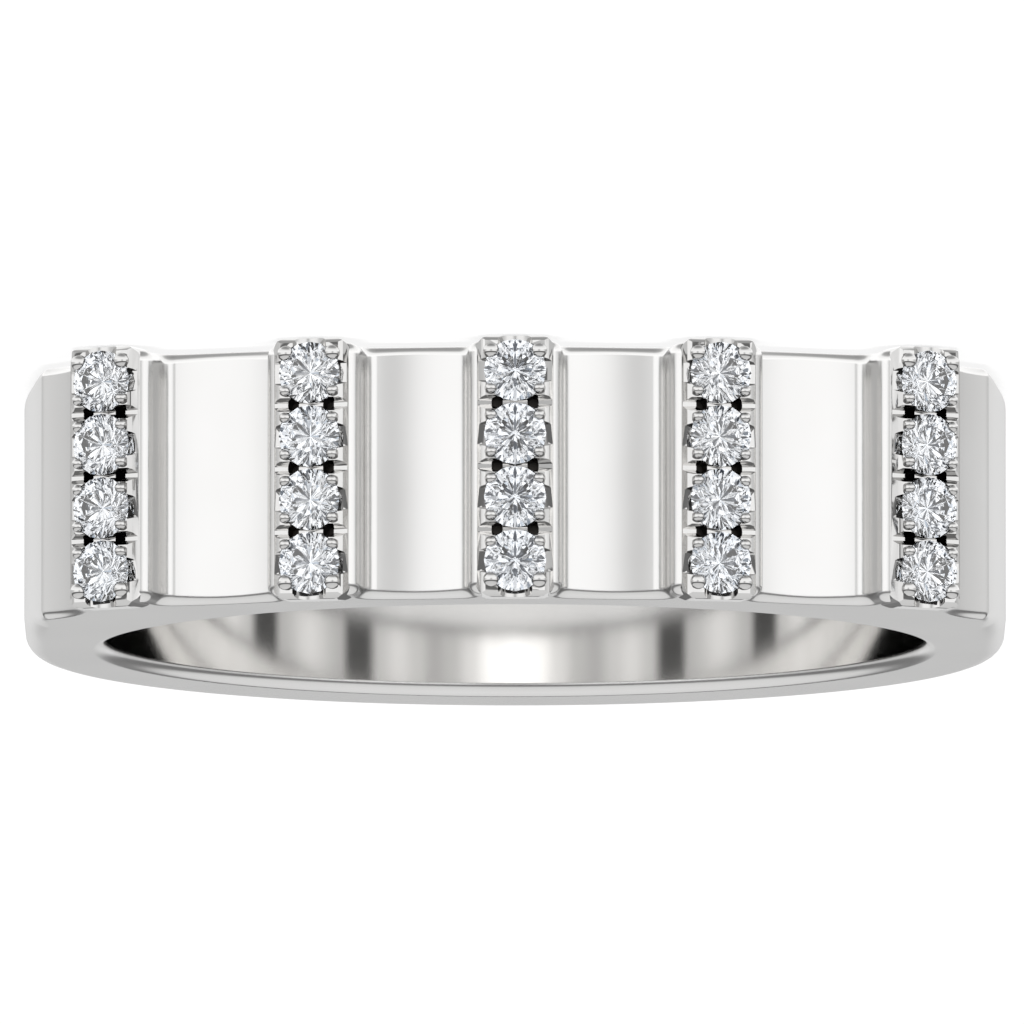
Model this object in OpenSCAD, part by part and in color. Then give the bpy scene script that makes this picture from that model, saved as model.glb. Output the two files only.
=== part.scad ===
// Diamond band: a polished white gold ring whose broad head has five ridges, each set with
// a row of four round brilliants, and deep round flutes between the ridges.
// The finger hole runs along Z, the head faces -Y, and the origin is the middle of the hole.
// All sizes are in millimetres.

/* [Ring] */
// Inside diameter of the finger hole
bore_d = 17.3; // [16.9:0.1:17.7]
// Width of the band along the finger
band_w = 5.3; // [5.2:0.02:5.4]
// Wall at the two sides of the finger hole
side_wall = 1.68; // [1.5:0.02:1.8]
// Wall at the back, opposite the stones
back_wall = 2.4; // [1.9:0.1:2.6]
// Rounding of the mouths of the finger hole
mouth_round = 0.27; // [0.15:0.01:0.35]
// Rounding of the outer edges of the sides and back
edge_round = 0.45; // [0.2:0.05:0.6]

/* [Head] */
// Height from the finger hole's wall to the top of the middle ridge
head_rise = 2.8; // [2.7:0.05:3]
// Radius of the long arc that the ridges' tops follow
head_r = 19.3; // [18.5:0.1:21]
// Distance across the ring from the middle ridge to the next one
inner_ridge_x = 4.32; // [4.25:0.01:4.4]
// Distance across the ring from the middle ridge to the outermost one
outer_ridge_x = 8.7; // [8.6:0.01:8.75]
// Radius of the hollow flute beyond each outermost ridge
shoulder_flute_r = 2.2; // [1.9:0.1:2.4]
// Rounding of the flutes' ends at the band's faces
flute_end_round = 0.18; // [0.08:0.02:0.24]

/* [Ridges] */
// Width of a ridge between two flutes
ridge_base_w = 1.75; // [1.7:0.01:1.8]
// Width of a ridge at the outer edges of its prongs
ridge_top_w = 1.64; // [1.6:0.01:1.66]
// Length of a ridge, a little more than the band's width
ridge_l = 5.48; // [5.46:0.01:5.52]
// Rounding of a ridge's two ends
ridge_end_round = 0.35; // [0.3:0.01:0.4]

/* [Stones] */
// Diameter of each round brilliant at its girdle
stone_d = 1.3; // [1.26:0.01:1.31]
// Distance between the middles of two stones in a row
stone_pitch = 1.33; // [1.32:0.005:1.34]
// Height of the tables above the ridges' tops
table_rise = 0.1; // [0.06:0.01:0.14]
// Diameter of the bead that ends each prong
bead_d = 0.26; // [0.22:0.01:0.28]

/* [Hidden] */
ROWS = 4;
COLUMNS = 5;
function stone_name(column, row) = str("diamond_c", column, "_r", row);

WHITE_GOLD = [0.87, 0.86, 0.85];
DIAMOND = [0.93, 0.96, 1.0];
BORE_FN = 192;    // facets of the preview round the finger hole
FINE_FN = 48;     // facets of the preview on small cylinders and flutes
BEAD_FN = 20;     // facets of the preview on a bead
OVER = 1;         // how far a cutter runs past what it cuts

// Band, worked out from the driving sizes
bore_r = bore_d / 2;
side_r = bore_r + side_wall;
back_shift = back_wall - side_wall;             // the back's arc is centred behind the hole
head_top = bore_r + head_rise;                  // from the hole's middle to the ridges' tops
arc_centre_y = head_r - head_top;               // middle of the long arc of the head
ridge_height = 0.28;                            // from the flutes' middles to the ridges' tops
floor_r = head_r - ridge_height;                // long arc through the flutes' middles
shoulder_r = 20;                                // each shoulder leans in on this long arc
shoulder_y = -2;                                // and starts to lean here

// Ridges stand square to the long arc, at these turns about its middle
inner_turn = asin(inner_ridge_x / head_r);
outer_turn = asin(outer_ridge_x / head_r);
RIDGE_TURNS = [-outer_turn, -inner_turn, 0, inner_turn, outer_turn];
// A flute fills the space between two ridges: its turn and its radius
function flute_turn(i) = (RIDGE_TURNS[i] + RIDGE_TURNS[i + 1]) / 2;
function flute_r(i) =
    floor_r * sin((RIDGE_TURNS[i + 1] - RIDGE_TURNS[i]) / 2) - ridge_base_w / 2;

// Brilliant cut, as shares of the stone's diameter
girdle_r = stone_d / 2;
TABLE_SHARE = 0.56;
CROWN_SHARE = 0.15;
GIRDLE_SHARE = 0.025;
PAVILION_SHARE = 0.43;
STAR_REACH = 0.5;        // how far a star facet runs from the table towards the girdle
LOWER_REACH = 0.25;      // how far out from the point a main facet meets its neighbour
crown_h = CROWN_SHARE * stone_d;
girdle_h = GIRDLE_SHARE * stone_d;
pavilion_h = PAVILION_SHARE * stone_d;
table_r = TABLE_SHARE * girdle_r;
girdle_y = -(table_rise - crown_h);             // girdle's depth under the ridge's top
STONE_GAP = 0.015;                              // air between a stone and its seat
seat_r = girdle_r + STONE_GAP;

// Prongs, beads and the cuts between them, measured from a stone's middle
bead_x = 0.52;
bead_z = 0.36;
end_bead_z = 0.43;       // the beads at a ridge's ends stand a little further out
bead_r = bead_d / 2;
bead_y = 0.03;           // a bead's middle lies this far under the ridge's top
PRONG_SHOULDER_X = 0.66; // from here a prong's top slopes down to its outer edge
PRONG_SHOULDER_Y = 0.14;
SCALLOP_HALF = [0.19, 0.21, 0.28];    // half width of a scallop at its floor, lip and top
SCALLOP_DEPTH = [0.38, 0.1];          // depth of that floor and lip
SLIT_HALF = [0.05, 0.155];            // half width of a slit at its floor and top
SLIT_DEPTH = 0.34;
POCKET_X = 0.375;        // a drilled pocket lies beside each place where two stones meet
POCKET_R = 0.12;
POCKET_DEPTH = 0.9;
END_NOTCH_R = 0.37;      // round notch filed through each end between its two prongs
END_NOTCH_START = 0.45;  // it starts this far out from the end stone's middle

function row_z(row) = (row - (ROWS + 1) / 2) * stone_pitch;

// Turns a child that is drawn for the middle ridge to the ridge's own place on the long arc.
// In the ridge's frame X is across it, -Y is outward, and Y = 0 is its top.
module at_ridge(turn) {
    translate([0, arc_centre_y, 0])
        rotate([0, 0, turn])
            translate([0, -head_r, 0])
                children();
}

// Stone's frame: Z is outward and Z = 0 is the top edge of the girdle.
module at_stone(row) {
    translate([0, girdle_y, row_z(row)])
        rotate([90, 0, 0])
            children();
}

// Half of the band's section: from the axis to the radius r, with a rounded outer corner.
module band_section(r, corner) {
    half_w = band_w / 2;
    translate([0, -half_w])
        square([r - corner, band_w]);
    translate([0, -half_w + corner])
        square([r, band_w - 2 * corner]);
    for (side = [-1, 1])
        translate([r - corner, side * (half_w - corner)])
            circle(r = corner, $fn = FINE_FN);
}

// Back of the band, a half turn about a middle that lies behind the hole's own.
module back_half() {
    translate([0, back_shift, 0])
        rotate_extrude(angle = 180, $fn = BORE_FN)
            band_section(side_r, edge_round);
}

// Straight sides between the back and the shoulders.
module straight_sides() {
    for (side = [0, 1])
        mirror([side, 0, 0])
            translate([0, back_shift, 0])
                rotate([90, 0, 0])
                    linear_extrude(height = back_shift - shoulder_y)
                        band_section(side_r, edge_round);
}

// Solid between the two shoulders, each half a turn about a middle far across the ring.
module shoulder_block() {
    intersection_for (side = [0, 1])
        mirror([side, 0, 0])
            translate([side_r - shoulder_r, shoulder_y, 0])
                rotate_extrude(angle = 180, start = 180, $fn = 2 * BORE_FN)
                    band_section(shoulder_r, edge_round);
}

// Head and shoulders under the ridges, up to the arc through the flutes' middles.
module head_block() {
    intersection() {
        shoulder_block();
        translate([0, arc_centre_y, 0])
            cylinder(r = floor_r, h = band_w + 2 * OVER, center = true, $fn = 2 * BORE_FN);
    }
}

// Round cutter along Z that widens at both faces of the band, so the edges come out rounded.
module rounding_cutter(r, corner, fn) {
    half_w = band_w / 2;
    wide_r = r + corner;
    rotate_extrude($fn = fn) {
        translate([0, -half_w - OVER])
            square([r, band_w + 2 * OVER]);
        for (side = [0, 1])
            mirror([0, side])
                difference() {
                    translate([0, half_w - corner])
                        square([wide_r, corner + OVER]);
                    translate([wide_r, half_w - corner])
                        circle(r = corner, $fn = FINE_FN);
                }
    }
}

// Four flutes between the ridges, and one beyond each outermost ridge against its flank.
module flute_cutters() {
    for (i = [0:COLUMNS - 2])
        at_ridge(flute_turn(i))
            translate([0, ridge_height, 0])
                rounding_cutter(flute_r(i), flute_end_round, 2 * FINE_FN);
    for (side = [-1, 1])
        at_ridge(side * outer_turn)
            translate([side * (ridge_base_w / 2 + shoulder_flute_r), ridge_height, 0])
                rounding_cutter(shoulder_flute_r, flute_end_round, 2 * FINE_FN);
}

// Ridge seen from its end: upright flanks low down, then leaning in to the prongs.
module ridge_end_view() {
    base = ridge_base_w / 2;
    top = ridge_top_w / 2;
    foot_y = 2 * ridge_end_round;
    polygon([
        [-base, foot_y], [-base, ridge_height], [-top, PRONG_SHOULDER_Y],
        [-PRONG_SHOULDER_X, 0], [PRONG_SHOULDER_X, 0],
        [top, PRONG_SHOULDER_Y], [base, ridge_height], [base, foot_y]
    ]);
}

// Ridge seen from its side, length along X: rounded ends, a scallop at each stone's middle
// and a slit between two stones, which together leave two prongs a side for each stone.
module ridge_side_view() {
    straight_l = ridge_l - 2 * ridge_end_round;
    difference() {
        union() {
            translate([-straight_l / 2, 0])
                square([straight_l, 2 * ridge_end_round]);
            for (side = [-1, 1])
                translate([side * straight_l / 2, ridge_end_round])
                    circle(r = ridge_end_round, $fn = FINE_FN);
        }
        for (row = [1:ROWS])
            translate([row_z(row), 0])
                polygon([
                    [-SCALLOP_HALF[2], -OVER], [-SCALLOP_HALF[2], 0],
                    [-SCALLOP_HALF[1], SCALLOP_DEPTH[1]], [-SCALLOP_HALF[0], SCALLOP_DEPTH[0]],
                    [SCALLOP_HALF[0], SCALLOP_DEPTH[0]], [SCALLOP_HALF[1], SCALLOP_DEPTH[1]],
                    [SCALLOP_HALF[2], 0], [SCALLOP_HALF[2], -OVER]
                ]);
        for (row = [1:ROWS - 1])
            translate([row_z(row) + stone_pitch / 2, 0])
                polygon([
                    [-SLIT_HALF[1], -OVER], [-SLIT_HALF[1], 0], [-SLIT_HALF[0], SLIT_DEPTH],
                    [SLIT_HALF[0], SLIT_DEPTH], [SLIT_HALF[1], 0], [SLIT_HALF[1], -OVER]
                ]);
    }
}

// Ridge seen from the front: a rectangle with rounded corners.
module ridge_front_view() {
    corner = 0.2;
    w = ridge_base_w;
    square([w - 2 * corner, ridge_l], center = true);
    square([w, ridge_l - 2 * corner], center = true);
    for (x = [-1, 1], z = [-1, 1])
        translate([x * (w / 2 - corner), z * (ridge_l / 2 - corner)])
            circle(r = corner, $fn = FINE_FN);
}

// Solid ridge: what its three views have in common.
module ridge_block() {
    intersection() {
        linear_extrude(height = ridge_l + OVER, center = true)
            ridge_end_view();
        rotate([0, 90, 0])
            linear_extrude(height = ridge_base_w + OVER, center = true)
                ridge_side_view();
        rotate([90, 0, 0])
            linear_extrude(height = 4 * OVER, center = true)
                ridge_front_view();
    }
}

// Seat of one stone: a cone under the girdle and a straight round wall above it.
module seat_cutter() {
    rotate_extrude($fn = FINE_FN)
        polygon([
            [0, -girdle_h - pavilion_h - 4 * STONE_GAP],
            [seat_r, -girdle_h - STONE_GAP],
            [seat_r, OVER],
            [0, OVER]
        ]);
}

// Room that a stone needs: its seat, and its crown with air round it.
module stone_room() {
    rotate_extrude($fn = FINE_FN)
        polygon([
            [0, -girdle_h - pavilion_h - 4 * STONE_GAP],
            [seat_r, -girdle_h - STONE_GAP],
            [seat_r, STONE_GAP],
            [table_r, crown_h + 2 * STONE_GAP],
            [table_r, OVER],
            [0, OVER]
        ]);
}

// Four beads of one stone, hollowed where they lap over its crown.
module beads(row) {
    low_z = row == 1 ? end_bead_z : bead_z;
    high_z = row == ROWS ? end_bead_z : bead_z;
    difference() {
        for (x = [-bead_x, bead_x], z = [-low_z, high_z])
            translate([x, bead_y, row_z(row) + z])
                rotate([90, 0, 0])
                    sphere(r = bead_r, $fn = BEAD_FN);
        at_stone(row)
            stone_room();
    }
}

// One ridge with its seats, pockets and beads, in its own frame.
module set_ridge() {
    difference() {
        ridge_block();
        ridge_cuts();
    }
    for (row = [1:ROWS])
        beads(row);
}

// All that is cut into a ridge and into the metal under it.
module ridge_cuts() {
    for (row = [1:ROWS])
        at_stone(row)
            seat_cutter();
    for (row = [1:ROWS - 1], x = [-POCKET_X, POCKET_X])
        translate([x, POCKET_DEPTH, row_z(row) + stone_pitch / 2])
            rotate([90, 0, 0])
                cylinder(r = POCKET_R, h = POCKET_DEPTH + OVER, $fn = FINE_FN);
    for (side = [-1, 1])
        translate([0, 0, side * (row_z(ROWS) + END_NOTCH_START)])
            rotate([90 - 90 * side, 0, 0])
                cylinder(r = END_NOTCH_R, h = OVER, $fn = FINE_FN);
}

// Metal of the ring: one casting with its five ridges.
module band() {
    color(WHITE_GOLD) {
        difference() {
            union() {
                back_half();
                straight_sides();
                head_block();
            }
            flute_cutters();
            rounding_cutter(bore_r, mouth_round, BORE_FN);
            for (turn = RIDGE_TURNS)
                at_ridge(turn)
                    ridge_cuts();
        }
        for (turn = RIDGE_TURNS)
            at_ridge(turn)
                set_ridge();
    }
}

// Corners of a brilliant, in rings of points from the table down to the point.
function ring(count, r, z, first = 0) =
    [for (i = [0:count - 1]) let (a = first + i * 360 / count) [r * cos(a), r * sin(a), z]];

// Height of a main facet at a given distance along its own middle line.
function crown_at(x) = crown_h * (girdle_r - x) / (girdle_r - table_r);
function pavilion_at(x) = -girdle_h - pavilion_h * (girdle_r - x) / girdle_r;

// One round brilliant with 57 facets and a thin girdle.
module brilliant() {
    half_step = 22.5;
    star_r = table_r + STAR_REACH * (girdle_r - table_r);
    lower_r = LOWER_REACH * girdle_r;
    points = concat(
        ring(8, table_r, crown_h),
        ring(8, star_r, crown_at(star_r * cos(half_step)), half_step),
        ring(16, girdle_r, 0),
        ring(16, girdle_r, -girdle_h),
        ring(8, lower_r, pavilion_at(lower_r * cos(half_step)), half_step),
        [[0, 0, -girdle_h - pavilion_h]]
    );
    star = 8;       // first point of each ring in the list above
    top = 16;
    low = 32;
    lower = 48;
    tip = 56;
    faces = concat(
        [[for (i = [7:-1:0]) i]],
        [for (i = [0:7]) [i, (i + 1) % 8, star + i]],
        [for (i = [0:7]) [i, star + i, top + 2 * i, star + (i + 7) % 8]],
        [for (i = [0:7]) [star + i, top + 2 * i + 1, top + 2 * i]],
        [for (i = [0:7]) [star + i, top + (2 * i + 2) % 16, top + 2 * i + 1]],
        [for (i = [0:15]) [top + i, top + (i + 1) % 16, low + (i + 1) % 16, low + i]],
        [for (i = [0:7]) [low + 2 * i, low + 2 * i + 1, lower + i]],
        [for (i = [0:7]) [low + 2 * i + 1, low + (2 * i + 2) % 16, lower + i]],
        [for (i = [0:7]) [low + 2 * i, lower + i, tip, lower + (i + 7) % 8]]
    );
    polyhedron(points = points, faces = faces);
}

// One stone in its seat: column 1 is at the left end of the head, row 1 at the low Z end.
module diamond(column, row) {
    color(DIAMOND)
        at_ridge(RIDGE_TURNS[column - 1])
            at_stone(row)
                brilliant();
}

band();
for (c = [1:COLUMNS], r = [1:ROWS])
    diamond(c, r);
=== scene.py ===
import math

import bmesh
import bpy
from mathutils import Matrix, Vector


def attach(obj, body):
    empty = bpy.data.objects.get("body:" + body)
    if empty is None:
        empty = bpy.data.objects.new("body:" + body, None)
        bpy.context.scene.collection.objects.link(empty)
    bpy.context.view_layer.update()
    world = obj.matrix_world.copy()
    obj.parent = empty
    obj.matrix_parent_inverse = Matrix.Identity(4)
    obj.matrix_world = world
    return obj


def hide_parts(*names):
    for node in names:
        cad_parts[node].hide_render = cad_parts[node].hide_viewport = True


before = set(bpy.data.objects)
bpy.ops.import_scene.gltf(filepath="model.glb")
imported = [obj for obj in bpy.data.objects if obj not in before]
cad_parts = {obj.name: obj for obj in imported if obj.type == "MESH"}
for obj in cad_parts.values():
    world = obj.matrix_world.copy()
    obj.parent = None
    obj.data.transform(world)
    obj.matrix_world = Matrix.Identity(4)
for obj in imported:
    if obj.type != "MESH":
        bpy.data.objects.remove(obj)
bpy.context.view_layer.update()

# Band of the ring: back, sides, shoulders and the head's fluted body under the ridges.
# Cast in one piece in white gold and filed, with the rims that show rounded: softly polished
# outside, and to a mirror in the finger hole.
# Pieces are shaped in millimetres and brought to metres when they are finished.
MM = 0.001
BORE_R = 8.65
BAND_W = 5.3
SIDE_R = 10.33
BACK_MIDDLE_Y = 0.72
SHOULDER_R = 20.0
SHOULDER_Y = -2.0
HEAD_R = 19.3
HEAD_TOP = 11.45
HEAD_MIDDLE_Y = HEAD_R - HEAD_TOP
RIDGE_TURNS = (-26.79, -12.93, 0.0, 12.93, 26.79)
RIDGE_HALF_W = 0.875
# The flutes between the ridges: floor, corners, walls and lips, and a groove under each ridge
# that leaves the stones' points free.
FLUTE_DEPTH = 1.35
FLUTE_FLOOR_R = 5.0
FLUTE_CORNER_R = 0.3
FLUTE_WALL = 86.0
FLUTE_HALF_W = 1.15
LIP_DEPTH = 0.28
LIP_X = 0.69
LIP_R = 0.3
GROOVE_X = 0.6
GROOVE_DEPTH = 0.74
# The shallow flute beside each outer ridge, which ends in a crease at the shoulder.
SHOULDER_FLUTE_R = 2.2
SHOULDER_FLUTE_DEPTH = 0.28
SHOULDER_FLUTE_DIP = 12.0
SHOULDER_FLUTE_LEAD = 0.4
CREASE_R = 0.25
# Roundings of the rims, and how far past the crease the shank's starts and takes to grow.
FLUTE_RIM = 0.18
LIP_RIM = 0.25
BORE_RIM = 0.27
SHANK_RIM = 0.45
RIM_GROWS_FROM = 0.3
RIM_GROWS_OVER = 1.2
RIM_STEPS = 7
# Degrees of each arc to one straight step of the outline.
ARC_STEP = {"lip": 5, "corner": 3, "floor": 0.7, "shoulder flute": 1.5, "crease": 4, "shoulder": 0.5,
            "back": 1.5, "bore": 1.5}
# How near counts as touching and as one point, and the angle up to which the shading is smooth.
CLOSE = 0.01
SAME_POINT = 0.001
BAND_SMOOTH = 35


def start_piece(name, add_primitive, **shape):
    """Adds a primitive and makes it the only selected object, in edit mode."""
    bpy.ops.object.select_all(action="DESELECT")
    add_primitive(**shape)
    piece = bpy.context.object
    piece.name = piece.data.name = name
    bpy.ops.object.mode_set(mode="EDIT")
    bpy.ops.mesh.select_all(action="SELECT")
    return piece


def pick(piece, kind, wanted):
    """Selects the vertices, edges or faces of a piece in edit mode that are wanted."""
    bpy.ops.mesh.select_mode(type=kind)
    bpy.ops.mesh.select_all(action="DESELECT")
    mesh = bmesh.from_edit_mesh(piece.data)
    for item in {"VERT": mesh.verts, "EDGE": mesh.edges, "FACE": mesh.faces}[kind]:
        if wanted(item):
            item.select = True
    mesh.select_flush_mode()
    bmesh.update_edit_mesh(piece.data)


def make_active(piece):
    """Makes a piece the only selected object."""
    bpy.ops.object.select_all(action="DESELECT")
    piece.select_set(True)
    bpy.context.view_layer.objects.active = piece


def apply_all(piece):
    """Applies each modifier of a piece in turn."""
    make_active(piece)
    for modifier in list(piece.modifiers):
        bpy.ops.object.modifier_apply(modifier=modifier.name)


def turned(degrees):
    """A turn about Z."""
    return Matrix.Rotation(math.radians(degrees), 3, "Z")


def on_head(turn, across, depth):
    """Point of the head's outline, from its turn and its depth under the ridges' tops."""
    a = math.radians(turn)
    r = HEAD_R - depth
    return Vector((r * math.sin(a) + across * math.cos(a),
                   HEAD_MIDDLE_Y - r * math.cos(a) + across * math.sin(a), -BAND_W / 2))


def draw_line(start, end):
    """Draws the outline on straight, and gives back the line's end."""
    bpy.ops.mesh.extrude_region_move(TRANSFORM_OT_translate={"value": end - start})
    return end


def draw_arc(start, middle, degrees, kind):
    """Draws the outline on round a middle, and gives back the arc's end."""
    steps = max(2, round(abs(degrees) / ARC_STEP[kind]))
    bpy.ops.mesh.spin(steps=steps, angle=-math.radians(degrees), center=middle, axis=(0, 0, 1))
    return middle + turned(degrees) @ (start - middle)


def draw_flute(pen, turn_from, turn_to):
    """Groove under the ridge, lip, wall, corner, floor and the same again up to the next ridge."""
    turn = (turn_from + turn_to) / 2
    first_lip = on_head(turn_from, LIP_X, LIP_DEPTH + LIP_R)
    last_lip = on_head(turn_to, -LIP_X, LIP_DEPTH + LIP_R)
    half = (last_lip - first_lip).length / 2
    lip_depth = ((first_lip + last_lip) / 2 - on_head(turn, 0, 0)).length
    wall = math.radians(FLUTE_WALL)
    floor_depth = FLUTE_DEPTH - FLUTE_FLOOR_R
    corner_reach = FLUTE_FLOOR_R - FLUTE_CORNER_R
    edge = wall - math.acos((half * math.sin(wall) - FLUTE_CORNER_R - LIP_R
                             + (lip_depth - floor_depth) * math.cos(wall)) / corner_reach)
    corner_x = corner_reach * math.sin(edge)
    corner_depth = floor_depth + corner_reach * math.cos(edge)
    edge_turn = math.degrees(edge)
    lip_turn = turn - turn_from + FLUTE_WALL
    foot_x = corner_x + FLUTE_CORNER_R * math.sin(wall)
    foot_depth = corner_depth + FLUTE_CORNER_R * math.cos(wall)
    head_x = half - LIP_R * math.sin(wall)
    head_depth = lip_depth - LIP_R * math.cos(wall)
    pen = draw_line(pen, on_head(turn_from, GROOVE_X, GROOVE_DEPTH))
    pen = draw_line(pen, on_head(turn_from, LIP_X, LIP_DEPTH))
    draw_arc(pen, first_lip, lip_turn, "lip")
    pen = draw_line(on_head(turn, -head_x, head_depth), on_head(turn, -foot_x, foot_depth))
    draw_arc(pen, on_head(turn, -corner_x, corner_depth), edge_turn - FLUTE_WALL, "corner")
    pen = on_head(turn, -FLUTE_FLOOR_R * math.sin(edge), floor_depth + FLUTE_FLOOR_R * math.cos(edge))
    pen = draw_arc(pen, on_head(turn, 0, floor_depth), -2 * edge_turn, "floor")
    draw_arc(pen, on_head(turn, corner_x, corner_depth), edge_turn - FLUTE_WALL, "corner")
    pen = draw_line(on_head(turn, foot_x, foot_depth), on_head(turn, head_x, head_depth))
    pen = draw_arc(pen, last_lip, lip_turn, "lip")
    return draw_line(pen, on_head(turn_to, -GROOVE_X, GROOVE_DEPTH))


def where_circles_meet(middle_a, r_a, middle_b, r_b):
    """The meeting point of two circles that lies further back."""
    apart = middle_b - middle_a
    along = (r_a * r_a - r_b * r_b + apart.length_squared) / (2 * apart.length)
    side = math.sqrt(r_a * r_a - along * along)
    foot = middle_a + apart.normalized() * along
    across = Vector((-apart.y, apart.x, 0)).normalized() * side
    return max(foot + across, foot - across, key=lambda p: p.y)


def turn_between(middle, start, end):
    """Signed degrees from start to end round a middle."""
    a = start - middle
    b = end - middle
    return math.degrees(math.atan2(a.x * b.y - a.y * b.x, a.x * b.x + a.y * b.y))


# Half the outline, from the middle ridge over two flutes, the shoulder, the back and the bore.
band = start_piece("ring_band", bpy.ops.mesh.primitive_plane_add, size=0.1)
bpy.ops.mesh.merge(type="CENTER")
start = on_head(0, 0, GROOVE_DEPTH)
bpy.ops.transform.translate(value=start)
pen = start
for turn_from, turn_to in zip(RIDGE_TURNS[2:], RIDGE_TURNS[3:]):
    pen = draw_flute(pen, turn_from, turn_to)
outer_turn = RIDGE_TURNS[-1]
flute_middle = on_head(outer_turn, RIDGE_HALF_W + SHOULDER_FLUTE_R, SHOULDER_FLUTE_DEPTH)
ridge_side = on_head(outer_turn, RIDGE_HALF_W, SHOULDER_FLUTE_DEPTH)
flute_start = flute_middle + turned(-SHOULDER_FLUTE_DIP) @ (ridge_side - flute_middle)
lead = turned(90) @ (flute_start - flute_middle).normalized() * SHOULDER_FLUTE_LEAD
shoulder_middle = Vector((SIDE_R - SHOULDER_R, SHOULDER_Y, -BAND_W / 2))
side_start = Vector((SIDE_R, SHOULDER_Y, -BAND_W / 2))
crease = where_circles_meet(flute_middle, SHOULDER_FLUTE_R + CREASE_R,
                            shoulder_middle, SHOULDER_R - CREASE_R)
leaves_flute = flute_middle + (crease - flute_middle).normalized() * SHOULDER_FLUTE_R
meets_shoulder = shoulder_middle + (crease - shoulder_middle).normalized() * SHOULDER_R
pen = draw_line(pen, on_head(outer_turn, GROOVE_X, GROOVE_DEPTH))
pen = draw_line(pen, flute_start + lead)
pen = draw_line(pen, flute_start)
pen = draw_arc(pen, flute_middle, turn_between(flute_middle, pen, leaves_flute), "shoulder flute")
pen = draw_arc(pen, crease, turn_between(crease, pen, meets_shoulder), "crease")
pen = draw_arc(pen, shoulder_middle, turn_between(shoulder_middle, pen, side_start), "shoulder")
pen = draw_line(pen, Vector((SIDE_R, BACK_MIDDLE_Y, -BAND_W / 2)))
pen = draw_arc(pen, Vector((0, BACK_MIDDLE_Y, -BAND_W / 2)), 90, "back")
pen = draw_line(pen, Vector((0, BORE_R, -BAND_W / 2)))
pen = draw_arc(pen, Vector((0, 0, -BAND_W / 2)), -180, "bore")
draw_line(pen, start)
bpy.ops.mesh.select_all(action="SELECT")
bpy.ops.mesh.remove_doubles(threshold=SAME_POINT / 2)
bpy.ops.mesh.edge_face_add()
bpy.ops.mesh.select_all(action="SELECT")
bpy.ops.mesh.extrude_region_move(TRANSFORM_OT_translate={"value": (0, 0, BAND_W)})
pick(band, "FACE", lambda f: all(abs(v.co.x) < SAME_POINT for v in f.verts))
bpy.ops.mesh.delete(type="FACE")
bpy.ops.object.mode_set(mode="OBJECT")
halves = band.modifiers.new("halves", "MIRROR")
halves.merge_threshold = SAME_POINT
apply_all(band)


def rim_width(x, y):
    """Rounding of the rim at a place of the outline."""
    if math.hypot(x, y) < BORE_R + 5 * CLOSE:
        return BORE_RIM
    if y > crease.y:
        grown = (y - crease.y - RIM_GROWS_FROM) / RIM_GROWS_OVER
        return FLUTE_RIM + (SHANK_RIM - FLUTE_RIM) * min(max(grown, 0), 1)
    turn = math.degrees(math.atan2(x, HEAD_MIDDLE_Y - y))
    r = math.hypot(x, y - HEAD_MIDDLE_Y)
    from_ridge = min(abs(turn - ridge_turn) for ridge_turn in RIDGE_TURNS[2:])
    if math.radians(from_ridge) * r < LIP_X - CLOSE / 2:
        return 0
    if turn > outer_turn:
        return FLUTE_RIM
    from_middle = min(abs(turn - (a + b) / 2) for a, b in zip(RIDGE_TURNS[2:], RIDGE_TURNS[3:]))
    towards_lip = min(math.radians(from_middle) * r / FLUTE_HALF_W, 1)
    return FLUTE_RIM + (LIP_RIM - FLUTE_RIM) * towards_lip ** 2


weights = band.data.attributes.new("bevel_weight_edge", "FLOAT", "EDGE")
for edge in band.data.edges:
    a, b = (band.data.vertices[i].co for i in edge.vertices)
    on_an_end = abs(a.z) > BAND_W / 2 - CLOSE and abs(a.z - b.z) < CLOSE
    if on_an_end and abs(a.x) + abs(b.x) > 2 * SAME_POINT:
        weights.data[edge.index].value = rim_width(abs(a.x + b.x) / 2, (a.y + b.y) / 2) / SHANK_RIM
rims = band.modifiers.new("rims", "BEVEL")
rims.limit_method = "WEIGHT"
rims.width = SHANK_RIM
rims.segments = RIM_STEPS
rims.use_clamp_overlap = False
apply_all(band)
bpy.ops.object.mode_set(mode="EDIT")
bpy.ops.mesh.select_all(action="SELECT")
bpy.ops.mesh.remove_doubles(threshold=SAME_POINT)
bpy.ops.mesh.normals_make_consistent(inside=False)
bpy.ops.object.mode_set(mode="OBJECT")


def polish(piece, angle, flatness=50):
    """Smooths a piece's shading up to an angle and keeps its flat faces flat."""
    make_active(piece)
    bpy.ops.object.shade_smooth_by_angle(angle=math.radians(angle))
    flat_faces = piece.modifiers.new("flat_faces", "WEIGHTED_NORMAL")
    flat_faces.keep_sharp = True
    flat_faces.weight = flatness
    apply_all(piece)


def settle(piece):
    """Brings a finished piece from millimetres to metres, with its place in its mesh."""
    piece.data.transform(piece.matrix_world)
    piece.matrix_world = Matrix.Identity(4)
    piece.data.transform(Matrix.Scale(MM, 4))
    piece.data.update()


polish(band, BAND_SMOOTH)
settle(band)


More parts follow.
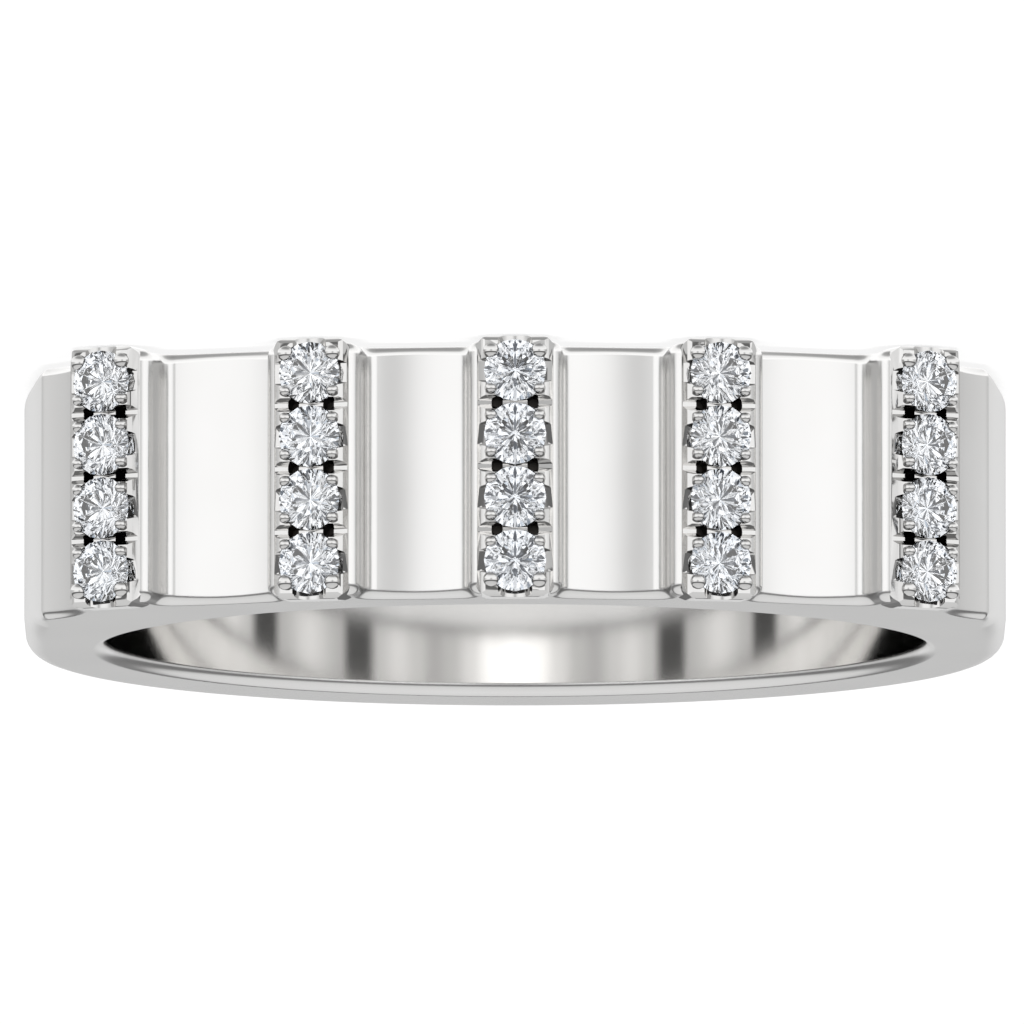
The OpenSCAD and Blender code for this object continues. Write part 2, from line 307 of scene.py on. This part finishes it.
def white_gold(name, finest, coarsest, painted_dimming=1.0):
    """Polished white gold, with the faintest cloudiness in its colour and its polish. Its colour may be
    scaled down, which paints shade into a darker copy of the same metal.
    """
    metal = bpy.data.materials.new(name)
    metal.use_nodes = True
    nodes = metal.node_tree.nodes
    links = metal.node_tree.links
    finish = nodes["Principled BSDF"]
    finish.inputs["Metallic"].default_value = 1.0
    place = nodes.new("ShaderNodeTexCoord")
    clouds = nodes.new("ShaderNodeTexNoise")
    clouds.inputs["Scale"].default_value = 380.0
    clouds.inputs["Detail"].default_value = 3.0
    links.new(place.outputs["Object"], clouds.inputs["Vector"])
    tint = nodes.new("ShaderNodeValToRGB")
    for stop, position, colour in zip(tint.color_ramp.elements, (0.3, 0.7),
                                      ((0.905, 0.898, 0.888), (0.935, 0.93, 0.922))):
        stop.position = position
        stop.color = (*(painted_dimming * part for part in colour), 1)
    links.new(clouds.outputs["Fac"], tint.inputs["Fac"])
    links.new(tint.outputs["Color"], finish.inputs["Base Color"])
    swirl = nodes.new("ShaderNodeMapRange")
    swirl.inputs["To Min"].default_value = finest
    swirl.inputs["To Max"].default_value = coarsest
    links.new(clouds.outputs["Fac"], swirl.inputs["Value"])
    links.new(swirl.outputs["Result"], finish.inputs["Roughness"])
    return metal


def in_bore(place):
    """Whether a place on the settled band lies on the wall of the finger hole."""
    return math.hypot(place.x, place.y) < (BORE_R + CLOSE / 2) * MM


band.data.materials.append(white_gold("polished_white_gold", finest=0.19, coarsest=0.23))
band.data.materials.append(white_gold("mirror_white_gold_bore", finest=0.04, coarsest=0.06))
for face in band.data.polygons:
    face.material_index = int(all(in_bore(band.data.vertices[i].co) for i in face.vertices))
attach(band, "root")
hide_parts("band")

# Five ridges across the head, each a bar of the same casting with four seats cut in a row.
# Scallops and slits filed into its flanks leave four prongs for each stone, ended by beads.
# Each ridge's frame has X across it, Z along it, and Y for the depth under its top.
RIDGE_L = 5.48
RIDGE_FOOT = 1.05
RIDGE_CORNER = 0.36
RIDGE_CORNER_STEPS = 5
RIDGE_END_R = 0.35
RIDGE_END_LEANS = range(10, 90, 10)
RIDGE_TOP_HALF_W = 0.845
RIDGE_TOP_DEPTH = 0.09
PRONG_SLOPES = (((0.62, 0.09), (0.71, 0.15)), ((0.71, 0.15), (0.82, 0.34)))
ROWS = 4
STONE_PITCH = 1.33
STONE_R = 0.65
TABLE_RISE = 0.1
CROWN_H = 0.195
GIRDLE_H = 0.0325
PAVILION_H = 0.559
SEAT_R = 0.66
SEAT_TOP = CROWN_H - TABLE_RISE + GIRDLE_H
# Tools start above the ridge, and their faces stay a hair off each other. Scallops and slits are
# given as half widths at depths.
ABOVE = -0.2
SCALLOP = ((0.2, 0.25), (0.295, 0.0), (0.295, ABOVE))
SCALLOP_LEANS = (0.0, 0.175, 0.175, 0.175)
SLIT = ((0.04, 0.27), (0.16, 0.06), (0.16, ABOVE))
SLIT_MIDDLE_W = 0.5
SLIT_END_W = 1.8
TOOL_L = 3
POCKET_X = 0.375
POCKET_R = 0.12
POCKET_TOP = 0.1
POCKET_DEPTH = GROOVE_DEPTH - 0.04
NOTCH_R = 0.37
NOTCH_START = 0.45
NOTCH_L = 1
HAIR = 0.001
EXACT = 0.00001
SEAT_STEPS = 48
POCKET_STEPS = 24
NOTCH_STEPS = 40
BEAD_X = 0.5
BEAD_Z = 0.385
BEAD_SIZE = (0.27, 0.28, 0.23)
END_BEAD_Z = 0.405
END_BEAD_SIZE = (0.34, 0.28, 0.32)
BEAD_DEPTH = 0.042
EDGE_POLISH = 0.012
EDGE_ANGLE = 28
RIDGE_SMOOTH = 13
BEAD_SMOOTH = 40


def row_z(row):
    return (row - (ROWS - 1) / 2) * STONE_PITCH


def cut_plane(place, outward):
    """Cuts all of the piece in edit mode off along a plane and closes it."""
    bpy.ops.mesh.select_all(action="SELECT")
    bpy.ops.mesh.bisect(plane_co=place, plane_no=outward, use_fill=True, clear_outer=True, threshold=EXACT)


def carve(piece, tool):
    """Takes a tool's shape out of a piece, and the tool away."""
    cut = piece.modifiers.new("cut", "BOOLEAN")
    cut.object = tool
    cut.operation = "DIFFERENCE"
    cut.solver = "MANIFOLD"
    apply_all(piece)
    bpy.data.objects.remove(tool)


def finish_tool(x, z):
    """Moves the tool in edit mode to its place in the ridge, and leaves edit mode."""
    bpy.ops.mesh.select_all(action="SELECT")
    bpy.ops.transform.translate(value=(x, 0, z))
    bpy.ops.mesh.normals_make_consistent(inside=False)
    bpy.ops.object.mode_set(mode="OBJECT")


def start_bar(name, section):
    """Starts a bar across the ridge, its section given as half widths at depths."""
    (low_half, low), *upper = section
    top = upper[-1][1]
    tool = start_piece(name, bpy.ops.mesh.primitive_cube_add, size=1)
    bpy.ops.transform.resize(value=(TOOL_L, low - top, 2 * low_half))
    bpy.ops.transform.translate(value=(0, (low + top) / 2, 0))
    pick(tool, "FACE", lambda f: f.normal.y < -0.9)
    depth_before = upper[0][1]
    bpy.ops.transform.translate(value=(0, depth_before - top, 0))
    for half, depth in upper:
        if depth != depth_before:
            bpy.ops.mesh.extrude_region_move(
                TRANSFORM_OT_translate={"value": (0, depth - depth_before, 0)})
        mesh = bmesh.from_edit_mesh(tool.data)
        for vert in mesh.verts:
            if vert.select:
                vert.co.z = math.copysign(half, vert.co.z)
        bmesh.update_edit_mesh(tool.data)
        depth_before = depth
    return tool


def floor_of(tool, section):
    """The deepest vertices of a bar in edit mode."""
    return [vert for vert in bmesh.from_edit_mesh(tool.data).verts if vert.co.y > section[0][1] - CLOSE]


def scallop_tool(row):
    """Bar that files both flanks beside a stone, with a leaning floor."""
    tool = start_bar("scallop", SCALLOP)
    for vert in floor_of(tool, SCALLOP):
        vert.co.y += SCALLOP_LEANS[row] * vert.co.z
    bmesh.update_edit_mesh(tool.data)
    finish_tool(0, row_z(row))
    return tool


def slit_tool(row):
    """Saw cut between the prongs of two stones, its floor wider at the ridge's sides."""
    tool = start_bar("slit", SLIT)
    bpy.ops.mesh.select_all(action="SELECT")
    bpy.ops.mesh.bisect(plane_co=(0, 0, 0), plane_no=(1, 0, 0), threshold=EXACT)
    for vert in floor_of(tool, SLIT):
        vert.co.z *= SLIT_MIDDLE_W if abs(vert.co.x) < TOOL_L / 4 else SLIT_END_W
    bmesh.update_edit_mesh(tool.data)
    finish_tool(0, row_z(row) + STONE_PITCH / 2)
    return tool


def round_tool(name, radii, depths, x, z, steps):
    """Round tool along Y with one radius at each of its two depths."""
    tool = start_piece(name, bpy.ops.mesh.primitive_cone_add, vertices=steps, radius1=radii[0],
                       radius2=radii[1], depth=depths[1] - depths[0])
    bpy.ops.transform.rotate(value=math.pi / 2, orient_axis="X", center_override=(0, 0, 0))
    mesh = bmesh.from_edit_mesh(tool.data)
    for vert in mesh.verts:
        wide = abs(math.hypot(vert.co.x, vert.co.z) - radii[0]) < HAIR / 10
        vert.co.y = depths[0] if wide else depths[1]
    bmesh.update_edit_mesh(tool.data)
    finish_tool(x, z)
    return tool


ridge = start_piece("ridge_1", bpy.ops.mesh.primitive_cube_add, size=1)
bpy.ops.transform.resize(value=(2 * RIDGE_TOP_HALF_W, RIDGE_FOOT, RIDGE_L))
bpy.ops.transform.translate(value=(0, RIDGE_FOOT / 2, 0))
pick(ridge, "EDGE", lambda e: abs(e.verts[0].co.y - e.verts[1].co.y) > RIDGE_FOOT / 2)
bpy.ops.mesh.bevel(offset=RIDGE_CORNER, segments=RIDGE_CORNER_STEPS)
cut_plane((0, RIDGE_TOP_DEPTH, 0), (0, -1, 0))
for side in (-1, 1):
    for (x_in, depth_in), (x_out, depth_out) in PRONG_SLOPES:
        cut_plane((side * x_out, depth_out, 0), (side * (depth_out - depth_in), x_in - x_out, 0))
    for facing, depth in ((-1, RIDGE_END_R), (1, RIDGE_FOOT - RIDGE_END_R)):
        middle = Vector((0, depth, side * (RIDGE_L / 2 - RIDGE_END_R)))
        for lean in RIDGE_END_LEANS:
            a = math.radians(lean)
            outward = Vector((0, facing * math.cos(a), side * math.sin(a)))
            cut_plane(middle + outward * RIDGE_END_R, outward)
bpy.ops.object.mode_set(mode="OBJECT")
for row in range(ROWS):
    carve(ridge, scallop_tool(row))
for row in range(ROWS - 1):
    carve(ridge, slit_tool(row))
for row in range(ROWS):
    carve(ridge, round_tool("seat_wall", (SEAT_R, SEAT_R - HAIR), (ABOVE, SEAT_TOP), 0, row_z(row),
                            SEAT_STEPS))
    carve(ridge, round_tool("seat_cone", (SEAT_R, HAIR), (SEAT_TOP - 2 * HAIR, SEAT_TOP + PAVILION_H), 0,
                            row_z(row), SEAT_STEPS))
for row in range(ROWS - 1):
    for side in (-1, 1):
        carve(ridge, round_tool("pocket", (POCKET_R, POCKET_R - 2 * HAIR), (ABOVE, POCKET_DEPTH),
                                side * POCKET_X, row_z(row) + STONE_PITCH / 2, POCKET_STEPS))
for side in (-1, 1):
    notch = start_piece("notch", bpy.ops.mesh.primitive_cylinder_add, vertices=NOTCH_STEPS,
                        radius=NOTCH_R, depth=NOTCH_L)
    finish_tool(0, side * (row_z(ROWS - 1) + NOTCH_START + NOTCH_L / 2))
    carve(ridge, notch)
soft_edges = ridge.modifiers.new("soft_edges", "BEVEL")
soft_edges.width = EDGE_POLISH
soft_edges.segments = 2
soft_edges.limit_method = "ANGLE"
soft_edges.angle_limit = math.radians(EDGE_ANGLE)
apply_all(ridge)
polish(ridge, RIDGE_SMOOTH, flatness=100)

for row in range(ROWS):
    for end in (-1, 1):
        outermost = row_z(row) * end > row_z(ROWS - 1) - CLOSE
        size = END_BEAD_SIZE if outermost else BEAD_SIZE
        reach = END_BEAD_Z if outermost else BEAD_Z
        for side in (-1, 1):
            bead = start_piece("bead", bpy.ops.mesh.primitive_uv_sphere_add, segments=20, ring_count=12,
                               radius=0.5)
            bpy.ops.transform.resize(value=size)
            bpy.ops.transform.translate(value=(side * BEAD_X, BEAD_DEPTH, row_z(row) + end * reach))
            bpy.ops.object.mode_set(mode="OBJECT")
            bpy.ops.object.shade_smooth_by_angle(angle=math.radians(BEAD_SMOOTH))
            make_active(ridge)
            bead.select_set(True)
            bpy.ops.object.join()


def place_on_head(turn):
    """From a ridge's own frame to its place on the head."""
    return (Matrix.Translation((0, HEAD_MIDDLE_Y, 0)) @ Matrix.Rotation(math.radians(turn), 4, "Z")
            @ Matrix.Translation((0, -HEAD_R, 0)))


def copy_of(model, name, place):
    """A copy with its own mesh, moved to a place in millimetres and settled."""
    piece = model.copy()
    piece.data = model.data.copy()
    piece.name = piece.data.name = name
    bpy.context.collection.objects.link(piece)
    piece.data.transform(place)
    settle(piece)
    return piece


def pocket_gold_painted_dark():
    """White gold inside the drilled pockets, unpolished, its colour painted nearly black as the shade deep
    in the pockets, darker in places.
    """
    metal = bpy.data.materials.new("pocket_painted_shade_gold")
    metal.use_nodes = True
    nodes = metal.node_tree.nodes
    links = metal.node_tree.links
    finish = nodes["Principled BSDF"]
    finish.inputs["Metallic"].default_value = 1.0
    finish.inputs["Roughness"].default_value = 0.35
    place = nodes.new("ShaderNodeTexCoord")
    grains = nodes.new("ShaderNodeTexNoise")
    grains.inputs["Scale"].default_value = 4000.0
    links.new(place.outputs["Object"], grains.inputs["Vector"])
    tint = nodes.new("ShaderNodeValToRGB")
    # Nearly black colours: painted shade inside the pockets, not the metal's own colour.
    tint.color_ramp.elements[0].color = (0.03, 0.028, 0.025, 1)
    tint.color_ramp.elements[1].color = (0.13, 0.12, 0.11, 1)
    links.new(grains.outputs["Fac"], tint.inputs["Fac"])
    links.new(tint.outputs["Color"], finish.inputs["Base Color"])
    return metal


def in_pocket(place):
    """Whether a place in the ridge's own frame lies on a pocket's wall or floor."""
    nearest = min(math.hypot(abs(place.x) - POCKET_X, place.z - row_z(row) - STONE_PITCH / 2)
                  for row in range(ROWS - 1))
    return nearest < POCKET_R + EDGE_POLISH and place.y > POCKET_TOP


ridge.data.materials.clear()
# The ridges are the band's white gold with its colour scaled to 0.86: painted shade, so the ridges and
# their crevices read darker than the band.
ridge.data.materials.append(white_gold("mirror_white_gold", finest=0.05, coarsest=0.07, painted_dimming=0.86))
# Second material: the pockets' faces, painted dark for the shade in them.
ridge.data.materials.append(pocket_gold_painted_dark())
for face in ridge.data.polygons:
    face.material_index = int(all(in_pocket(ridge.data.vertices[i].co) for i in face.vertices))
for column, turn in enumerate(RIDGE_TURNS, 1):
    bar = copy_of(ridge, f"stone_ridge_{column}", place_on_head(turn))
    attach(bar, "root")
    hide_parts("band")
bpy.data.objects.remove(ridge)

# Twenty round brilliants in five rows of four, each gripped at its girdle by four prongs.
# Clear, near colourless diamond, cut with a table, stars, mains and halves above and below.
TABLE_R = 0.56 * STONE_R
STAR_REACH = 0.5
LOWER_REACH = 0.25
SIDES = 8
SIDE_TURN = 360 / SIDES
BLANK_H = 2
SAME_CORNER = 0.0002


def corner(r, z, turn):
    a = math.radians(turn)
    return Vector((r * math.cos(a), r * math.sin(a), z))


def facet(a, b, c):
    """Cuts one facet through three points, with its outside away from the stone's middle."""
    outward = (b - a).cross(c - a).normalized()
    if outward.dot(a - Vector((0, 0, -GIRDLE_H))) < 0:
        outward.negate()
    cut_plane(a, outward)


def crown_at(x):
    return CROWN_H * (STONE_R - x) / (STONE_R - TABLE_R)


def pavilion_at(x):
    return -GIRDLE_H - PAVILION_H * (STONE_R - x) / STONE_R


stone = start_piece("brilliant", bpy.ops.mesh.primitive_cylinder_add, vertices=2 * SIDES,
                    radius=STONE_R, depth=BLANK_H)
star_r = TABLE_R + STAR_REACH * (STONE_R - TABLE_R)
lower_r = LOWER_REACH * STONE_R
half_turn = SIDE_TURN / 2
star_z = crown_at(star_r * math.cos(math.radians(half_turn)))
lower_z = pavilion_at(lower_r * math.cos(math.radians(half_turn)))
tip = Vector((0, 0, -GIRDLE_H - PAVILION_H))
cut_plane((0, 0, CROWN_H), (0, 0, 1))
for i in range(SIDES):
    turn = SIDE_TURN * i
    table_here = corner(TABLE_R, CROWN_H, turn)
    table_next = corner(TABLE_R, CROWN_H, turn + SIDE_TURN)
    star = corner(star_r, star_z, turn + half_turn)
    star_before = corner(star_r, star_z, turn - half_turn)
    lower = corner(lower_r, lower_z, turn + half_turn)
    lower_before = corner(lower_r, lower_z, turn - half_turn)
    facet(star, table_here, star_before)
    facet(table_here, star, table_next)
    for first, second in ((turn, turn + half_turn), (turn + half_turn, turn + SIDE_TURN)):
        facet(star, corner(STONE_R, 0, first), corner(STONE_R, 0, second))
        facet(lower, corner(STONE_R, -GIRDLE_H, first), corner(STONE_R, -GIRDLE_H, second))
    facet(lower, tip, lower_before)
bpy.ops.mesh.select_all(action="SELECT")
bpy.ops.mesh.remove_doubles(threshold=SAME_CORNER)
bpy.ops.mesh.normals_make_consistent(inside=False)
bpy.ops.object.mode_set(mode="OBJECT")


def clear_diamond():
    """Near colourless diamond, with a trace of blue that comes and goes from place to place."""
    gem = bpy.data.materials.new("clear_diamond")
    gem.use_nodes = True
    nodes = gem.node_tree.nodes
    links = gem.node_tree.links
    glass = nodes["Principled BSDF"]
    glass.inputs["Transmission Weight"].default_value = 1.0
    glass.inputs["IOR"].default_value = 2.417
    glass.inputs["Roughness"].default_value = 0.0
    place = nodes.new("ShaderNodeTexCoord")
    clouds = nodes.new("ShaderNodeTexNoise")
    clouds.inputs["Scale"].default_value = 1500.0
    links.new(place.outputs["Object"], clouds.inputs["Vector"])
    tint = nodes.new("ShaderNodeValToRGB")
    tint.color_ramp.elements[0].position = 0.35
    tint.color_ramp.elements[0].color = (0.94, 0.965, 1.0, 1)
    tint.color_ramp.elements[1].position = 0.65
    tint.color_ramp.elements[1].color = (0.99, 0.993, 1.0, 1)
    links.new(clouds.outputs["Fac"], tint.inputs["Fac"])
    links.new(tint.outputs["Color"], glass.inputs["Base Color"])
    return gem


stone.data.materials.clear()
stone.data.materials.append(clear_diamond())
facing_out = Matrix.Rotation(math.pi / 2, 4, "X")
for column, turn in enumerate(RIDGE_TURNS, 1):
    for row in range(ROWS):
        seat = Matrix.Translation((0, CROWN_H - TABLE_RISE, row_z(row)))
        place = place_on_head(turn) @ seat @ facing_out
        diamond = copy_of(stone, f"brilliant_c{column}_r{row + 1}", place)
        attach(diamond, "root")
        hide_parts(f"diamond_c{column}_r{row + 1}")
bpy.data.objects.remove(stone)

# Floor of the photo table: pale paper that the ring lies on, lit from within so that it stays white.
# The metal and the stones don't mirror it; the studio's own light stands in for it there.
FLOOR_Z = -2.74
FLOOR_SIZE = 1.4

floor = start_piece("floor", bpy.ops.mesh.primitive_grid_add, x_subdivisions=4, y_subdivisions=4,
                    size=FLOOR_SIZE)
bpy.ops.transform.translate(value=(0, 0, FLOOR_Z * MM))
bpy.ops.object.mode_set(mode="OBJECT")
paper = bpy.data.materials.new("pale_floor")
paper.use_nodes = True
sheet = paper.node_tree.nodes["Principled BSDF"]
sheet.inputs["Base Color"].default_value = (0.45, 0.45, 0.45, 1)
sheet.inputs["Roughness"].default_value = 1.0
sheet.inputs["Specular IOR Level"].default_value = 0.0
sheet.inputs["Emission Color"].default_value = (1, 1, 1, 1)
sheet.inputs["Emission Strength"].default_value = 0.7
floor.data.materials.append(paper)
floor.visible_glossy = False
floor.visible_transmission = False

# Soft light of the studio, brighter and darker by direction so that the metal's tones come near the
# photo's. A real room has one set of lights; here later reflections and the stones have their own.
# Each list gives angles in degrees and the brightness there.
# Round the horizon, from the camera's side (0) to behind the ring (180): what the metal mirrors at once,
# at the second reflection, at the third, which is mostly the finger hole's, and deeper.
ROUND = ((0, 0.56), (4, 0.62), (8, 0.76), (12, 0.92), (18, 1.03), (26, 1.07), (52, 1.05), (62, 0.94),
         (72, 0.78), (86, 0.66), (110, 0.62), (140, 0.56), (152, 0.66), (160, 0.8), (180, 0.72))
ROUND_SECOND = ((0, 0.5), (60, 0.5), (90, 0.62), (120, 0.8), (180, 0.85))
ROUND_THIRD = ((0, 1.6), (20, 1.45), (37, 0.95), (53, 0.66), (68, 0.55), (83, 0.75), (99, 0.9),
               (116, 0.7), (128, 0.08), (142, 0.08), (152, 0.6), (180, 0.9))
ROUND_DEEPER = ((0, 1.1), (90, 0.8), (180, 1.0))
# From straight down (-90) to straight up: at once, at later reflections, and this light's share.
DOME = ((-90, 0.3), (-62, 0.4), (-42, 1.0), (-14, 1.15), (12, 0.16), (24, 0.16), (34, 0.7), (90, 0.76))
DOME_SECOND = ((-90, 0.12), (-40, 0.2), (-16, 0.6), (12, 0.3), (24, 0.1), (50, 0.14), (90, 0.12))
DOME_SHARE = ((-16, 1.0), (-10, 0.0), (9, 0.0), (12, 1.0))
# What the stones gather: a bright tent with dark gaps, and a dark ring round the lens.
TENT = ((0.40, (0.03, 0.035, 0.045, 1)), (0.43, (0.5, 0.58, 0.68, 1)), (0.47, (1.5, 1.52, 1.55, 1)))
LENS_RING = ((0.0, 0), (0.95, 0), (0.97, 1), (0.986, 1), (0.994, 0), (1.0, 0))
LENS_DARK = (0.05, 0.06, 0.08, 1)
CAMERA_RISE = math.radians(6.47)

studio = bpy.data.worlds.new("soft_studio")
bpy.context.scene.world = studio
studio.use_nodes = True
nodes = studio.node_tree.nodes
links = studio.node_tree.links


def math_node(kind, first, second=None):
    """A math node of one kind, its inputs numbers or other nodes' outputs."""
    node = nodes.new("ShaderNodeMath")
    node.operation = kind
    for socket, value in zip(node.inputs, (first, second)):
        if isinstance(value, (int, float)):
            socket.default_value = value
        elif value is not None:
            links.new(value, socket)
    return node.outputs["Value"]


def ramp(factor, stops):
    """Brightness that eases from stop to stop."""
    node = nodes.new("ShaderNodeValToRGB")
    node.color_ramp.interpolation = "EASE"
    node.color_ramp.elements.remove(node.color_ramp.elements[1])
    node.color_ramp.elements[0].position = stops[0][0]
    for place, _ in stops[1:]:
        node.color_ramp.elements.new(place)
    for element, (_, value) in zip(node.color_ramp.elements, stops):
        element.color = (value, value, value, 1)
    links.new(factor, node.inputs["Fac"])
    return node.outputs["Color"]


def blend(share, first, second):
    """Mixes two colours; the second is a node's output or a plain colour."""
    node = nodes.new("ShaderNodeMix")
    node.data_type = "RGBA"
    links.new(share, node.inputs["Factor"])
    links.new(first, node.inputs["A"])
    if isinstance(second, tuple):
        node.inputs["B"].default_value = second
    else:
        links.new(second, node.inputs["B"])
    return node.outputs["Result"]


way = nodes.new("ShaderNodeTexCoord")
parts = nodes.new("ShaderNodeSeparateXYZ")
links.new(way.outputs["Generated"], parts.inputs["Vector"])
side_x = math_node("ABSOLUTE", parts.outputs["X"])
front_y = math_node("MULTIPLY", parts.outputs["Y"], -1.0)
turn_share = math_node("DIVIDE", math_node("ARCTAN2", side_x, front_y), math.pi)
height_share = math_node("ADD", math_node("DIVIDE", math_node("ARCSINE", parts.outputs["Z"]), math.pi), 0.5)


def round_light(stops):
    return ramp(turn_share, [(degrees / 180, value) for degrees, value in stops])


def dome_light(stops):
    return ramp(height_share, [(degrees / 180 + 0.5, value) for degrees, value in stops])


rays = nodes.new("ShaderNodeLightPath")
is_second, is_third, is_deeper = (
    math_node("GREATER_THAN", rays.outputs["Glossy Depth"], depth) for depth in (1.5, 2.5, 3.5))
horizon = blend(is_second, round_light(ROUND), round_light(ROUND_SECOND))
horizon = blend(is_third, horizon, round_light(ROUND_THIRD))
horizon = blend(is_deeper, horizon, round_light(ROUND_DEEPER))
dome = blend(is_second, dome_light(DOME), dome_light(DOME_SECOND))
studio_light = blend(dome_light(DOME_SHARE), horizon, dome)

gaps = nodes.new("ShaderNodeTexNoise")
gaps.inputs["Scale"].default_value = 2.6
gaps.inputs["Detail"].default_value = 2.0
links.new(way.outputs["Generated"], gaps.inputs["Vector"])
tent = nodes.new("ShaderNodeValToRGB")
tent.color_ramp.elements.new(TENT[1][0])
for element, (place, colour) in zip(tent.color_ramp.elements, TENT):
    element.position = place
    element.color = colour
links.new(gaps.outputs["Fac"], tent.inputs["Fac"])
lens_y = math_node("MULTIPLY", parts.outputs["Y"], -math.cos(CAMERA_RISE))
lens_z = math_node("MULTIPLY", parts.outputs["Z"], math.sin(CAMERA_RISE))
near_lens = ramp(math_node("ADD", lens_y, lens_z), LENS_RING)
tent_light = blend(near_lens, tent.outputs["Color"], LENS_DARK)
all_light = blend(rays.outputs["Is Transmission Ray"], studio_light, tent_light)
links.new(all_light, nodes["Background"].inputs["Color"])

# Large soft lamp over the table, on the camera's side, for the floor's faint shadows.
LAMP_SIZE = 0.5
LAMP_POWER = 1.2
LAMP_PLACE = Vector((0, -0.25, 0.55))

lamp_data = bpy.data.lights.new("softbox", "AREA")
lamp_data.shape = "DISK"
lamp_data.size = LAMP_SIZE
lamp_data.energy = LAMP_POWER
lamp = bpy.data.objects.new("softbox", lamp_data)
bpy.context.collection.objects.link(lamp)
lamp.location = LAMP_PLACE
lamp.rotation_euler = (-LAMP_PLACE).to_track_quat("-Z", "Y").to_euler()
lamp.visible_glossy = False
lamp.visible_transmission = False

# Camera with a long lens, turned over because the ring lies on its side: the picture's down is +Z.
# It stands a little above the head, and its scale is in the picture's pixels to a millimetre.
CAMERA_FAR = 0.95
SCALE_PX = 47.4
PICTURE_PX = 1024
SENSOR_MM = 36.0
LOOK_AT = Vector((0.065, 0, -0.3)) * MM

camera_data = bpy.data.cameras.new("camera")
camera_data.sensor_width = SENSOR_MM
camera_data.lens = SENSOR_MM * CAMERA_FAR / (PICTURE_PX / SCALE_PX * MM)
camera_data.clip_start = 0.005
camera_data.clip_end = 20
camera = bpy.data.objects.new("camera", camera_data)
bpy.context.collection.objects.link(camera)
look = Vector((0, math.cos(CAMERA_RISE), -math.sin(CAMERA_RISE)))
down = Vector((0, math.sin(CAMERA_RISE), math.cos(CAMERA_RISE)))
right = Vector((-1, 0, 0))
turned_over = Matrix((right, -down, -look)).transposed().to_4x4()
camera.matrix_world = Matrix.Translation(LOOK_AT - look * CAMERA_FAR) @ turned_over
bpy.context.scene.camera = camera
bpy.context.scene.view_settings.view_transform = "Standard"

bpy.context.view_layer.update()
